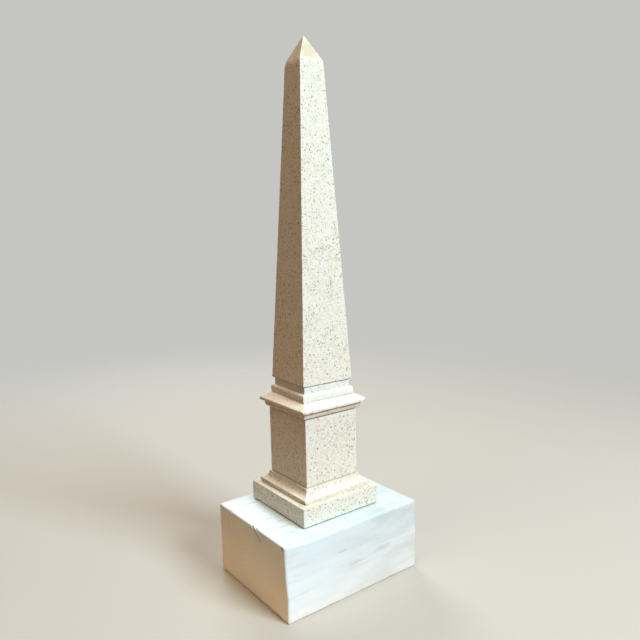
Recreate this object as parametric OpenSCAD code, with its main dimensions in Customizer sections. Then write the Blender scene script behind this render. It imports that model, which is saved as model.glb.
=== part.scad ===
// Table obelisk of speckled cast stone, set on a white-painted wood block.
// Millimetres, +Z up. The origin is the centre of the block's underside.
// +X runs along the block's grain and +Y points to the back, where the
// obelisk stands a little off the middle of the block.
// Widths start from the die: each stone above or below it stands out from
// its neighbour by its own named amount.

/* [Die] */
// Width of the square die
die_w = 71; // [50:0.5:100]
// Height of the die
die_h = 76.2; // [40:0.2:120]

/* [Base moulding] */
// How far the moulding's thin rim stands out from the die
base_ledge = 2; // [0.5:0.1:4]
// Height of the thin rim
base_rim_h = 0.7; // [0.5:0.1:3]
// Radius of the cove between the rim and the lower fillet
cove_r = 7.8; // [3:0.1:15]
// Height of the lower fillet
base_fillet_h = 4.5; // [2:0.1:12]

/* [Plinth] */
// How far the plinth stands out from the base moulding
plinth_margin = 7; // [2:0.5:20]
// Height of the plinth
plinth_h = 21; // [12:0.5:40]

/* [Cornice] */
// Radius of the ovolo at the bottom of the bed moulding
ovolo_r = 5.6; // [3:0.1:10]
// How far the bed moulding stands out from the die
bed_mould_out = 4; // [2:0.1:8]
// Height of the bed moulding's fillet, above the ovolo
bed_fillet_h = 3.2; // [1:0.1:8]
// How far the outer fillet stands out from the bed moulding
cornice_out = 4.6; // [2:0.1:10]
// Height of the outer fillet
cornice_fillet_h = 3.4; // [2:0.1:10]
// Rise of the sloping top
weathering_h = 5.6; // [2:0.1:12]

/* [Neck] */
// How far the neck's lower step stands in from the die
step_in = 1.5; // [0:0.1:6]
// Height of the lower step's upright face
step_h = 5.2; // [2:0.1:12]
// Radius of the quarter round on top of the step
step_round = 3; // [0.5:0.1:3.5]
// How far the neck stands in from its lower step
neck_in = 3.5; // [1:0.1:8]
// Height of the neck above the step
neck_h = 7.7; // [3:0.1:20]

/* [Shaft] */
// How far the shaft's foot stands out from the neck
foot_out = 2.2; // [0.5:0.1:6]
// Bevel under the shaft's foot
foot_bevel = 1.2; // [0.4:0.1:3]
// Width of the shaft at its shoulder
shaft_top_w = 29.5; // [15:0.5:40]
// Height from the foot to the shoulder
shaft_h = 342.5; // [200:0.5:450]
// Height of the pointed top above the shoulder
point_h = 27.6; // [12:0.1:50]

/* [Pad and joints] */
// Thickness of the rubber pad between the block and the plinth
pad_t = 1; // [0.5:0.1:3]
// How far the pad stays in from the plinth's faces
pad_inset = 1; // [0.5:0.1:6]
// Corner radius of the pad
pad_corner = 4; // [1:0.5:12]
// Thickness of the cement joints between the stones
joint_t = 0.5; // [0.2:0.1:1.5]
// How far the cement joints stay in from the narrower stone's faces
joint_inset = 0.8; // [0.3:0.1:3]

/* [Wood block] */
// How far the block runs past the plinth at each end
end_margin = 38.7; // [5:0.1:80]
// How far the block runs past the plinth in front
front_margin = 23.2; // [5:0.1:60]
// How far the block runs past the plinth behind
back_margin = 12.2; // [5:0.1:60]
// Height of the block
block_h = 82.5; // [40:0.5:120]
// Radius that the block's edges are eased to
block_ease = 2.5; // [0.5:0.5:4]

/* [Hidden] */
$fn = 64;

stone_colour = [0.86, 0.83, 0.73];
cement_colour = [0.62, 0.57, 0.47];
rubber_colour = [0.08, 0.08, 0.08];
paint_colour = [0.94, 0.96, 0.95];

// Widths, from the die downwards.
rim_w = die_w + 2 * base_ledge;
base_w = rim_w + 2 * cove_r;
plinth_w = base_w + 2 * plinth_margin;
pad_w = plinth_w - 2 * pad_inset;
block_l = plinth_w + 2 * end_margin;
block_w = plinth_w + front_margin + back_margin;
set_back = (front_margin - back_margin) / 2;

// Widths, from the die upwards.
bed_mould_w = die_w + 2 * bed_mould_out;
ovolo_foot_w = bed_mould_w - 2 * ovolo_r;
cornice_w = bed_mould_w + 2 * cornice_out;
step_w = die_w - 2 * step_in;
neck_w = step_w - 2 * neck_in;
foot_w = neck_w + 2 * foot_out;
foot_bed_w = foot_w - 2 * foot_bevel;

// Heights of the moulded stones.
base_h = base_fillet_h + cove_r + base_rim_h;
bed_mould_h = ovolo_r + bed_fillet_h;
cornice_h = bed_mould_h + cornice_fillet_h + weathering_h;
step_total_h = step_h + step_round;
neck_total_h = step_total_h + neck_h;

// The underside of each stone, from the block upwards.
plinth_z = block_h + pad_t;
base_z = plinth_z + plinth_h + joint_t;
die_z = base_z + base_h + joint_t;
cornice_z = die_z + die_h + joint_t;
neck_z = cornice_z + cornice_h + joint_t;
shaft_z = neck_z + neck_total_h + joint_t;

// Places a stone, a joint or the pad on the obelisk's axis, at height z.
module on_axis(z) {
    translate([0, set_back, z])
        children();
}

module square_slab(w, h) {
    translate([-w / 2, -w / 2, 0])
        cube([w, w, h]);
}

// A stone that is square in plan and has the same profile on all four sides.
// The child is the whole profile, drawn with x outwards and y upwards, and
// w is its greatest width.
module four_sided(w) {
    intersection_for(turn = [0, 90])
        rotate([90, 0, turn])
            linear_extrude(w, center = true)
                children();
}

// Adds the mirror image of half a profile, drawn from x = 0 outwards.
module both_halves() {
    children();
    mirror([1, 0])
        children();
}

// A quarter of a disc in the quadrant that x_side and y_side, each 1 or -1,
// point into.
module quarter_disc(r, x_side, y_side) {
    intersection() {
        circle(r);
        translate([x_side * r / 2, y_side * r / 2])
            square(r, center = true);
    }
}

module rounded_rectangle(l, w, r) {
    square([l - 2 * r, w], center = true);
    square([l, w - 2 * r], center = true);
    for (x = [-1, 1], y = [-1, 1])
        translate([x * (l / 2 - r), y * (w / 2 - r)])
            circle(r);
}

// The bed of cement under the stone at height z, kept in from the narrower
// of the two faces that it joins.
module cement_joint(z, lower_w, upper_w) {
    color(cement_colour)
        on_axis(z - joint_t)
            square_slab(min(lower_w, upper_w) - 2 * joint_inset, joint_t);
}

module wood_block() {
    color(paint_colour)
        translate([0, 0, block_h / 2])
            intersection() {
                linear_extrude(block_h, center = true)
                    rounded_rectangle(block_l, block_w, block_ease);
                rotate([90, 0, 0])
                    linear_extrude(block_w, center = true)
                        rounded_rectangle(block_l, block_h, block_ease);
                rotate([90, 0, 90])
                    linear_extrude(block_l, center = true)
                        rounded_rectangle(block_w, block_h, block_ease);
            }
}

module plinth_pad() {
    color(rubber_colour)
        on_axis(block_h)
            linear_extrude(pad_t)
                rounded_rectangle(pad_w, pad_w, pad_corner);
}

module plinth() {
    color(stone_colour)
        on_axis(plinth_z)
            square_slab(plinth_w, plinth_h);
}

module base_joint() {
    cement_joint(base_z, plinth_w, base_w);
}

// A lower fillet, a cove that draws in towards the die, and a thin rim.
module base_half_profile() {
    difference() {
        square([base_w / 2, base_h]);
        translate([base_w / 2, base_fillet_h + cove_r])
            circle(cove_r);
        translate([rim_w / 2, base_fillet_h + cove_r])
            square([cove_r, base_rim_h]);
    }
}

module base_moulding() {
    color(stone_colour)
        on_axis(base_z)
            four_sided(base_w)
                both_halves()
                    base_half_profile();
}

module die_joint() {
    cement_joint(die_z, rim_w, die_w);
}

module die() {
    color(stone_colour)
        on_axis(die_z)
            square_slab(die_w, die_h);
}

module cornice_joint() {
    cement_joint(cornice_z, die_w, ovolo_foot_w);
}

// An ovolo and a fillet under the overhang, the outer fillet, and a top
// that slopes up to the neck's step.
module cornice_half_profile() {
    square([ovolo_foot_w / 2, ovolo_r]);
    translate([ovolo_foot_w / 2, ovolo_r])
        quarter_disc(ovolo_r, 1, -1);
    translate([0, ovolo_r])
        square([bed_mould_w / 2, bed_fillet_h]);
    polygon([
        [0, bed_mould_h],
        [cornice_w / 2, bed_mould_h],
        [cornice_w / 2, bed_mould_h + cornice_fillet_h],
        [step_w / 2, cornice_h],
        [0, cornice_h]
    ]);
}

module cornice() {
    color(stone_colour)
        on_axis(cornice_z)
            four_sided(cornice_w)
                both_halves()
                    cornice_half_profile();
}

module neck_joint() {
    cement_joint(neck_z, step_w, step_w);
}

// An upright step with a rounded top edge, and the neck above it.
module neck_half_profile() {
    square([step_w / 2, step_h]);
    square([step_w / 2 - step_round, step_total_h]);
    translate([step_w / 2 - step_round, step_h])
        quarter_disc(step_round, 1, 1);
    square([neck_w / 2, neck_total_h]);
}

module neck() {
    color(stone_colour)
        on_axis(neck_z)
            four_sided(step_w)
                both_halves()
                    neck_half_profile();
}

module shaft_joint() {
    cement_joint(shaft_z, neck_w, foot_bed_w);
}

// The taper from the foot to the shoulder, and the point above it.
module shaft_profile() {
    polygon([
        [-foot_bed_w / 2, 0],
        [foot_bed_w / 2, 0],
        [foot_w / 2, foot_bevel],
        [shaft_top_w / 2, shaft_h],
        [0, shaft_h + point_h],
        [-shaft_top_w / 2, shaft_h],
        [-foot_w / 2, foot_bevel]
    ]);
}

module shaft() {
    color(stone_colour)
        on_axis(shaft_z)
            four_sided(foot_w)
                shaft_profile();
}

wood_block();
plinth_pad();
plinth();
base_joint();
base_moulding();
die_joint();
die();
cornice_joint();
cornice();
neck_joint();
neck();
shaft_joint();
shaft();
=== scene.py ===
"""A table obelisk of speckled cast stone on a white-painted wood block.

Makes the visible stones, cement joints, rubber pad and painted block around
the fixed frame, gives each its finish, and sets a plain floor, lights and a
camera. Everything is in metres in the frame's own axes: +Z up, +X along the
block's grain, -Y the front.
"""
import math

import bmesh
import bpy
from bpy.props import FloatProperty, FloatVectorProperty, PointerProperty
from mathutils import Matrix, Vector, noise
from mathutils.kdtree import KDTree


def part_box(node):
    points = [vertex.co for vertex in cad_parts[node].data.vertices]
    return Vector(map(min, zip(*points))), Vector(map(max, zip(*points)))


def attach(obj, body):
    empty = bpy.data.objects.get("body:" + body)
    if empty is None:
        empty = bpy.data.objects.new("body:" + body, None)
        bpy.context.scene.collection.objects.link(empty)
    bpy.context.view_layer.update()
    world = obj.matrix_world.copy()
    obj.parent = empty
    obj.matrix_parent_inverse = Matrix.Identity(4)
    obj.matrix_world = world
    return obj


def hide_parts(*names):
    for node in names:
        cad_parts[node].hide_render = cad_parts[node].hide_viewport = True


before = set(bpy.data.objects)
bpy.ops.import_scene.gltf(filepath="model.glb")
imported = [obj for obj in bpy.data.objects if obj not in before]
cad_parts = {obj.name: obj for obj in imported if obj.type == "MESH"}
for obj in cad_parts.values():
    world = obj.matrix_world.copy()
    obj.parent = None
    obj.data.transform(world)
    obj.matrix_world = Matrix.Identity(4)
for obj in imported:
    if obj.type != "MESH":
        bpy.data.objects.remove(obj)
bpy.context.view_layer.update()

bl_info = {
    "name": "Table Obelisk on a Painted Block",
    "version": (1, 0, 0),
    "blender": (4, 5, 0),
    "location": "3D View > Sidebar > Obelisk",
    "description": "Makes a speckled stone table obelisk, its painted wood block and a plain stage",
    "category": "Object",
}

MM = 0.001
BODY = "root"
ARRIS_ANGLE = math.radians(25)
RIM_ANGLE = math.radians(60)
LEVEL_WITHIN = 1e-6


def node_box(node):
    """Lowest and highest corner of a frame node."""
    low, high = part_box(node)
    return Vector(low), Vector(high)


def half_width(node):
    low, high = node_box(node)
    return (high.x - low.x) / 2


AXIS_Y = sum(corner.y for corner in node_box("die")) / 2


# ---------------------------------------------------------------- settings

def length_setting(name, default_mm, description, high_mm=200.0):
    return FloatProperty(
        name=name, description=description, default=default_mm * MM,
        min=0.0, max=high_mm * MM, unit="LENGTH", precision=5)


def angle_setting(name, degrees, description):
    return FloatProperty(
        name=name, description=description, default=math.radians(degrees), subtype="ANGLE")


def power_setting(name, watts, description):
    return FloatProperty(
        name=name, description=description, default=watts, min=0.0, subtype="POWER")


def colour_setting(name, default, description):
    return FloatVectorProperty(
        name=name, description=description, default=default,
        size=3, min=0.0, max=1.0, subtype="COLOR")


class ObeliskStoneSizes(bpy.types.PropertyGroup):
    """Sizes of the mouldings and of the wear on the stones."""
    rim_height: length_setting("Rim height", 0.7, "Height of the thin rim above the cove")
    cove_radius: length_setting("Cove radius", 7.8, "Radius of the cove on the base moulding")
    ovolo_radius: length_setting("Ovolo radius", 5.6, "Radius of the quarter round under the cornice")
    bed_fillet: length_setting("Bed fillet", 3.2, "Height of the fillet above the ovolo")
    cornice_out: length_setting(
        "Cornice overhang", 4.6, "How far the outer fillet stands out from the bed moulding")
    cornice_fillet: length_setting("Cornice fillet", 3.4, "Height of the outer fillet")
    step_height: length_setting("Step height", 5.2, "Height of the neck's lower step")
    step_round: length_setting("Step rounding", 3.0, "Radius of the rounding on top of the step")
    neck_in: length_setting("Neck set-in", 3.5, "How far the neck stands in from its step")
    foot_bevel: length_setting("Foot bevel", 0.8, "Bevel under the foot of the shaft")
    shoulder_width: length_setting("Shoulder width", 29.5, "Width of the shaft where its point begins")
    point_height: length_setting("Point height", 27.6, "Height of the pointed top")
    shoulder_ease: length_setting("Shoulder rounding", 13.0, "Radius that the shoulder is rounded to")
    tip_radius: length_setting("Tip radius", 0.6, "Radius of the worn tip")
    shaft_turn: angle_setting("Shaft turn", -2.1, "How far the neck and shaft are turned on their bed")
    tip_lean: length_setting("Tip lean", 0.25, "How far the tip stands off the axis")
    arris: length_setting("Arris", 0.45, "Width of the softened arrises")
    chip_depth: length_setting("Chip depth", 0.8, "Depth of the chips along the arrises")
    hollow_depth: length_setting("Face unevenness", 0.12, "Depth of the shallow hollows in the faces")
    mesh_step: length_setting("Mesh step", 1.15, "Size of the mesh's facets on the stones")


class ObeliskBlockSizes(bpy.types.PropertyGroup):
    """Sizes of the wood block's and the pad's wear."""
    edge_ease: length_setting("Edge rounding", 2.6, "Radius of the block's softened edges")
    upright_ease: length_setting("Upright rounding", 2.2, "Radius of the block's upright edges")
    waviness: length_setting("Waviness", 0.35, "Depth of the planed faces' waves")
    dent_depth: length_setting("Dent depth", 0.7, "Depth of the dents along the edges")
    plane_back: length_setting(
        "Planed back", 3.6, "How far the front face leans back at its top left corner")
    split_depth: length_setting("Split depth", 1.8, "Depth of the drying split in the end grain")
    pad_corner: length_setting("Pad corner", 4.0, "Corner radius of the rubber pad")
    mesh_step: length_setting("Mesh step", 2.0, "Size of the mesh's facets on the block")


class ObeliskFinishes(bpy.types.PropertyGroup):
    """Colours of the finishes."""
    stone_pale: colour_setting("Pale stone", (0.84, 0.805, 0.725), "The stone's palest paste")
    stone_cream: colour_setting("Cream stone", (0.745, 0.685, 0.515), "The warmer patches in the stone")
    stone_brown: colour_setting("Brown grains", (0.26, 0.20, 0.14), "The fine grains in the stone")
    stone_dark: colour_setting("Dark grains", (0.09, 0.075, 0.06), "The rare dark grains and pits")
    stone_tan: colour_setting("Tan stain", (0.60, 0.42, 0.22), "Faint iron stains in the stone")
    stone_bright: colour_setting("Bright grains", (0.89, 0.875, 0.83), "The pale grains in the stone")
    cement: colour_setting("Cement", (0.30, 0.26, 0.20), "The joints' cement")
    rubber: colour_setting("Rubber", (0.030, 0.031, 0.022), "The pad under the plinth")
    paint: colour_setting("Paint", (0.715, 0.875, 0.965), "The chalky paint on the block")
    paint_thin: colour_setting("Thin paint", (0.47, 0.56, 0.59), "Paint rubbed thin over the grain")
    timber: colour_setting("Timber", (0.32, 0.25, 0.17), "Bare timber in the worn places")


class ObeliskStage(bpy.types.PropertyGroup):
    """Where the camera stands and how strong the lights are."""
    lens: FloatProperty(
        name="Lens", description="Focal length on a 36 mm sensor, in mm", default=35.78, min=10.0, max=200.0)
    azimuth: angle_setting("Azimuth", -36.881, "Camera's turn to the left round the object")
    elevation: angle_setting("Elevation", 8.793, "Camera's height above the level")
    roll: angle_setting("Roll", -1.251, "Camera's tilt about its own line of sight")
    distance: length_setting("Distance", 710.816, "From the camera to the point that it looks at", 3000.0)
    aim_side: length_setting("Aim to the side", 7.808, "How far to the camera's right of the middle it aims")
    aim_height: length_setting("Aim height", 296.896, "Height of the point that it looks at", 600.0)
    window: power_setting("Window light", 85.0, "Power of the tall light in front")
    overhead: power_setting("Overhead light", 47.0, "Power of the light above")
    back: power_setting("Back light", 42.0, "Power of the light behind")
    side: power_setting("Side light", 12.5, "Power of the warm light on the left")
    backdrop: colour_setting("Backdrop", (0.56, 0.56, 0.54), "The plain colour round the floor")
    floor: colour_setting("Floor", (0.50, 0.49, 0.46), "The plain floor")


# ------------------------------------------------------------ shader helpers

class Graph:
    """Adds nodes to one node tree and links them.

    A value may be a number, a colour or a socket.
    """

    def __init__(self, tree):
        self.tree = tree
        self.count = 0

    def node(self, kind, inputs=None, **settings):
        made = self.tree.nodes.new(kind)
        made.location = (self.count % 12 * 190, -(self.count // 12) * 320)
        self.count += 1
        for key, value in settings.items():
            setattr(made, key, value)
        for key, value in (inputs or {}).items():
            self.feed(made.inputs[key], value)
        return made

    def feed(self, socket, value):
        if isinstance(value, bpy.types.NodeSocket):
            self.tree.links.new(value, socket)
        elif hasattr(value, "__len__") and socket.type == "RGBA":
            socket.default_value = (*value[:3], 1.0)
        else:
            socket.default_value = value

    def math(self, operation, first, second=0.5, third=0.5, clamp=False):
        made = self.node("ShaderNodeMath", operation=operation, use_clamp=clamp)
        for socket, value in zip(made.inputs, (first, second, third)):
            self.feed(socket, value)
        return made.outputs[0]

    def times(self, first, second, clamp=False):
        return self.math("MULTIPLY", first, second, clamp=clamp)

    def line(self, value, slope, start):
        """The value multiplied by a slope, on top of a start."""
        return self.math("MULTIPLY_ADD", value, slope, start)

    def hypotenuse(self, first, second):
        squares = [self.math("POWER", side, 2.0) for side in (first, second)]
        return self.math("SQRT", self.math("ADD", *squares))

    def vector_math(self, operation, first, second, socket=1):
        made = self.node("ShaderNodeVectorMath", operation=operation)
        self.feed(made.inputs[0], first)
        self.feed(made.inputs[socket], second)
        return made.outputs[0]

    def scale(self, vector, factors):
        """A vector multiplied part by part."""
        return self.vector_math("MULTIPLY", vector, factors)

    def add(self, first, second):
        return self.vector_math("ADD", first, second)

    def zoom(self, vector, factor):
        return self.vector_math("SCALE", vector, factor, "Scale")

    def parts(self, vector):
        """A vector's X, Y and Z."""
        return self.node("ShaderNodeSeparateXYZ", {"Vector": vector}).outputs

    def facing(self):
        """The X, Y and Z of the way the surface faces."""
        return self.parts(self.node("ShaderNodeNewGeometry").outputs["Normal"])

    def camera_ray(self):
        return self.node("ShaderNodeLightPath").outputs["Is Camera Ray"]

    def attribute(self, name):
        return self.node("ShaderNodeAttribute", attribute_name=name).outputs["Fac"]

    def blend(self, amount, first, second):
        made = self.node("ShaderNodeMix", data_type="RGBA", blend_type="MIX", clamp_factor=True)
        self.feed(made.inputs["Factor"], amount)
        self.feed(made.inputs[6], first)
        self.feed(made.inputs[7], second)
        return made.outputs[2]

    def wash(self, colour, mask, strength, tint):
        """A colour with a tint laid over it where a mask shows."""
        return self.blend(self.times(mask, strength), colour, tint)

    def remap(self, value, low, high):
        """0 at low and 1 at high, with a smooth change between them."""
        limits = {"Value": value, "From Min": low, "From Max": high}
        return self.node("ShaderNodeMapRange", limits, interpolation_type="SMOOTHSTEP").outputs["Result"]

    def noise(self, vector, scale, detail=2.0, roughness=0.5):
        """Fractal noise with so many waves to the metre."""
        return self.node("ShaderNodeTexNoise", {
            "Vector": vector, "Scale": scale, "Detail": detail, "Roughness": roughness}).outputs

    def drawn_out(self, vector, waves, detail=3.0, roughness=0.6):
        """Fractal noise with its own number of waves to the metre along each axis."""
        return self.noise(self.scale(vector, waves), 1.0, detail, roughness)

    def group(self, name, **inputs):
        made = self.node("ShaderNodeGroup", node_tree=bpy.data.node_groups[name])
        for key, value in inputs.items():
            self.feed(made.inputs[key.replace("_", " ")], value)
        return made.outputs

    def mottling(self, vector, patch, low, high, detail=3.0):
        return self.group(
            "Mottling", Vector=vector, Patch=patch, Low=low, High=high, Detail=detail)["Mask"]

    def speckles(self, vector, cell, share, radius, softness):
        return self.group(
            "Speckles", Vector=vector, Cell=cell, Share=share, Radius=radius, Softness=softness)


def new_group(name, inputs, outputs):
    """An empty shader node group with named sockets, and its graph, input and output."""
    tree = bpy.data.node_groups.new(name, "ShaderNodeTree")
    for label, default in inputs:
        kind = "NodeSocketVector" if default is None else "NodeSocketFloat"
        socket = tree.interface.new_socket(name=label, in_out="INPUT", socket_type=kind)
        if default is not None:
            socket.default_value = default
    for label in outputs:
        tree.interface.new_socket(name=label, in_out="OUTPUT", socket_type="NodeSocketFloat")
    graph = Graph(tree)
    start = graph.node("NodeGroupInput")
    end = graph.node("NodeGroupOutput")
    return graph, start.outputs, end.inputs


def build_speckles():
    """Grains or pits: one in some of the cells, each of its own size and tone."""
    g, given, result = new_group(
        "Speckles",
        [("Vector", None), ("Cell", 0.003), ("Share", 0.6), ("Radius", 0.3), ("Softness", 0.5)],
        ["Mask", "Tone"])
    ragged = g.noise(given["Vector"], g.math("DIVIDE", 1.6, given["Cell"]), 1.0)["Color"]
    shove = g.zoom(g.add(ragged, (-0.5, -0.5, -0.5)), g.times(given["Cell"], 0.55))
    cells = g.node("ShaderNodeTexVoronoi", {
        "Vector": g.add(given["Vector"], shove),
        "Scale": g.math("DIVIDE", 1.0, given["Cell"])}).outputs
    pick = g.node("ShaderNodeSeparateColor", {"Color": cells["Color"]}).outputs
    size = g.times(given["Radius"], g.line(pick["Green"], 0.9, 0.45))
    inner = g.times(size, g.math("SUBTRACT", 1.0, given["Softness"]))
    inside = g.remap(cells["Distance"], size, inner)
    chosen = g.math("LESS_THAN", pick["Red"], given["Share"])
    g.feed(result["Mask"], g.times(inside, chosen))
    g.feed(result["Tone"], pick["Blue"])


def build_mottling():
    """Soft uneven patches, from 0 to 1."""
    g, given, result = new_group(
        "Mottling",
        [("Vector", None), ("Patch", 0.01), ("Low", 0.4), ("High", 0.6), ("Detail", 2.0)],
        ["Mask"])
    waves = g.noise(given["Vector"], g.math("DIVIDE", 1.0, given["Patch"]), given["Detail"], 0.55)["Fac"]
    g.feed(result["Mask"], g.remap(waves, given["Low"], given["High"]))


def build_worn_arrises():
    """Where handling has rubbed the arrises, broken up by noise."""
    g, given, result = new_group(
        "Worn Arrises", [("Vector", None), ("Patch", 0.004), ("Reach", 0.6)], ["Mask"])
    near = g.attribute("wear")
    waves = g.noise(given["Vector"], g.math("DIVIDE", 1.0, given["Patch"]), 3.0)["Fac"]
    total = g.math("ADD", near, g.line(waves, 0.8, -0.4))
    start = g.math("SUBTRACT", 1.0, given["Reach"])
    g.feed(result["Mask"], g.remap(total, start, g.math("ADD", start, 0.45)))


def build_painted_quirk_shade():
    """Painted shade: darkening in the quirks, along the beds and under the nosing, broken up by noise."""
    g, given, result = new_group(
        "Settled Dirt", [("Vector", None), ("Patch", 0.006), ("Amount", 0.5)], ["Mask"])
    near = g.attribute("quirk")
    waves = g.noise(given["Vector"], g.math("DIVIDE", 1.0, given["Patch"]), 3.0)["Fac"]
    patchy = g.times(near, g.remap(waves, 0.3, 0.7))
    g.feed(result["Mask"], g.times(patchy, given["Amount"], clamp=True))


def build_timber_figure():
    """Growth rings round a pith that runs along the grain, and fibres along it."""
    g, given, result = new_group(
        "Timber Figure",
        [("Vector", None), ("Pith Y", 0.0243), ("Pith Z", 0.068), ("Ring", 0.0045), ("Waviness", 0.004)],
        ["Rings", "Fibres", "Streaks"])
    parts = g.parts(given["Vector"])
    slow = g.drawn_out(given["Vector"], (5.0, 30.0, 30.0), 2.0, 0.5)["Color"]
    bend = g.node("ShaderNodeSeparateColor", {"Color": slow}).outputs
    reach = g.times(given["Waviness"], 6.0)
    sides = []
    for axis, pith, channel in (("Y", "Pith Y", "Red"), ("Z", "Pith Z", "Green")):
        off = g.math("SUBTRACT", parts[axis], given[pith])
        swing = g.times(g.math("SUBTRACT", bend[channel], 0.5), reach)
        sides.append(g.math("ADD", off, swing))
    radius = g.hypotenuse(*sides)
    turn = g.math("FRACT", g.math("DIVIDE", radius, given["Ring"]))
    late = g.times(g.remap(turn, 0.35, 0.9), g.remap(turn, 1.0, 0.93))
    g.feed(result["Rings"], g.times(late, g.remap(radius, 0.075, 0.012)))
    g.feed(result["Fibres"], g.drawn_out(given["Vector"], (22.0, 900.0, 900.0))["Fac"])
    g.feed(result["Streaks"], g.drawn_out(given["Vector"], (16.0, 210.0, 210.0))["Fac"])


def build_rubbed_dash():
    """One long rubbed place along the grain, with ragged ends."""
    g, given, result = new_group(
        "Rubbed Dash",
        [("Vector", None), ("Middle X", 0.0), ("Middle Y", 0.0), ("Middle Z", 0.0),
         ("Length", 0.02), ("Width", 0.002), ("Slope", 0.0)],
        ["Mask"])
    ragged = g.drawn_out(given["Vector"], (90.0, 420.0, 420.0), 3.0, 0.5)["Fac"]
    parts = g.parts(given["Vector"])
    along = g.math("SUBTRACT", parts["X"], given["Middle X"])
    drift = g.times(along, given["Slope"])
    across = []
    for axis in "YZ":
        off = g.math("SUBTRACT", parts[axis], given["Middle " + axis])
        across.append(g.math("SUBTRACT", off, drift))
    wide = g.math("DIVIDE", g.hypotenuse(*across), given["Width"])
    far = g.math("DIVIDE", g.math("ABSOLUTE", along), given["Length"])
    reach = g.math("ADD", g.hypotenuse(wide, far), g.line(ragged, 1.6, -0.8))
    g.feed(result["Mask"], g.remap(reach, 1.05, 0.3))


GROUP_BUILDERS = (
    build_speckles, build_mottling, build_worn_arrises, build_painted_quirk_shade,
    build_timber_figure, build_rubbed_dash)


def start_material(name):
    """An empty material with its graph, object coordinates and shader."""
    material = bpy.data.materials.new(name)
    material.use_nodes = True
    material.node_tree.nodes.clear()
    graph = Graph(material.node_tree)
    place = graph.node("ShaderNodeTexCoord").outputs["Object"]
    shader = graph.node("ShaderNodeBsdfPrincipled")
    end = graph.node("ShaderNodeOutputMaterial")
    graph.feed(end.inputs["Surface"], shader.outputs["BSDF"])
    return material, graph, place, shader


def finish_surface(g, shader, colour, roughness, height, strength, distance):
    """Feeds a shader its colour and roughness, and a height in waves as deep as distance."""
    relief = g.node("ShaderNodeBump", {"Height": height, "Strength": strength, "Distance": distance})
    g.feed(shader.inputs["Base Color"], colour)
    g.feed(shader.inputs["Roughness"], roughness)
    g.feed(shader.inputs["Normal"], relief.outputs["Normal"])


STONE_SPECKLES = {
    # shift of the pattern, cell, share of cells, radius, softness, how much its tone
    # adds to the strength, least strength, colour
    "dust": ((0.0, 0.0, 0.0), 0.0017, 0.60, 0.50, 0.60, 0.56, 0.12, "stone_brown"),
    "grains": ((0.0, 0.0, 0.0), 0.0027, 0.75, 0.35, 0.45, 0.70, 0.25, "stone_brown"),
    "bright": ((0.11, 0.0, 0.07), 0.0027, 0.50, 0.42, 0.50, 0.0, 0.55, "stone_bright"),
    "rust": ((0.0, 0.23, 0.0), 0.0080, 0.40, 0.20, 0.50, 0.0, 0.38, "stone_tan"),
    "pits": ((0.05, 0.02, 0.4), 0.0052, 0.44, 0.19, 0.45, 0.50, 0.35, "stone_dark"),
}
PALE_DUST_AND_TOP_LIGHT = (0.90, 0.885, 0.84)
LIME_WASH = (0.90, 0.895, 0.87)
POINT_YELLOW_AND_SHADE = (0.53, 0.49, 0.365)
RUBBED_STONE = (0.88, 0.85, 0.78)
# Colour of the painted shade in the quirks, along the beds and under the nosing.
QUIRK_SHADE = (0.36, 0.31, 0.24)


def make_speckled_stone():
    """Cast stone: cream paste, fine brown grains, rare dark pits, faint tan stains."""
    tint = bpy.context.scene.obelisk_finishes
    material, g, place, shader = start_material("speckled_stone_finish")

    paste = g.mottling(place, 0.0034, 0.40, 0.62)
    cloud = g.mottling(place, 0.022, 0.38, 0.64)
    colour = g.wash(tint.stone_pale, paste, g.line(cloud, 0.45, 0.35), tint.stone_cream)
    stain = g.mottling(g.add(place, (0.31, 0.17, 0.05)), 0.011, 0.60, 0.74, 2.0)
    colour = g.wash(colour, stain, 0.22, tint.stone_tan)

    masks = {}
    for name, (shift, cell, share, radius, softness, gain, least, shade) in STONE_SPECKLES.items():
        specks = g.speckles(g.add(place, shift), cell, share, radius, softness)
        strength = g.line(specks["Tone"], gain, least)
        colour = g.wash(colour, specks["Mask"], strength, getattr(tint, shade))
        masks[name] = specks["Mask"]

    # Pale dust and painted top light: the faces that look up are made paler.
    upward = g.remap(g.facing()["Z"], 0.25, 0.85)
    colour = g.wash(colour, upward, g.line(cloud, 0.12, 0.20), PALE_DUST_AND_TOP_LIGHT)
    colour = g.wash(colour, g.attribute("limed"), g.line(cloud, 0.2, 0.4), LIME_WASH)
    # The point is yellower and darker: its own yellow tint and painted shade on its up-tilted faces.
    yellow_and_shade = g.times(g.attribute("handled"), g.line(cloud, 0.35, 0.65))
    colour = g.wash(colour, yellow_and_shade, 0.85, POINT_YELLOW_AND_SHADE)
    rubbed = g.group("Worn Arrises", Vector=place, Patch=0.0035, Reach=0.35)["Mask"]
    colour = g.wash(colour, rubbed, 0.55, RUBBED_STONE)
    # Painted shade in the quirks, along the beds and under the nosing.
    painted_shade = g.group("Settled Dirt", Vector=place, Patch=0.005, Amount=0.65)["Mask"]
    colour = g.blend(painted_shade, colour, QUIRK_SHADE)

    rough = g.math("SUBTRACT", g.line(paste, 0.10, 0.72), g.times(rubbed, 0.12))
    shader.inputs["IOR"].default_value = 1.45
    shader.inputs["Specular IOR Level"].default_value = 0.25

    grit = g.noise(place, 2600.0, 3.0, 0.65)["Fac"]
    tooling = g.noise(place, 420.0, 3.0, 0.55)["Fac"]
    relief = g.line(tooling, 0.6, g.times(grit, 0.4))
    relief = g.math("SUBTRACT", relief, g.times(masks["pits"], 1.3))
    relief = g.math("SUBTRACT", relief, g.times(masks["grains"], 0.18))
    finish_surface(g, shader, colour, rough, relief, 0.55, 0.22 * MM)
    return material


CEMENT_PATCH = (0.44, 0.39, 0.31)
CEMENT_SAND = (0.14, 0.11, 0.08)
BUTTERED_PALE = (0.74, 0.71, 0.63)
BUTTERED_CREAM = (0.64, 0.59, 0.48)


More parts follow.
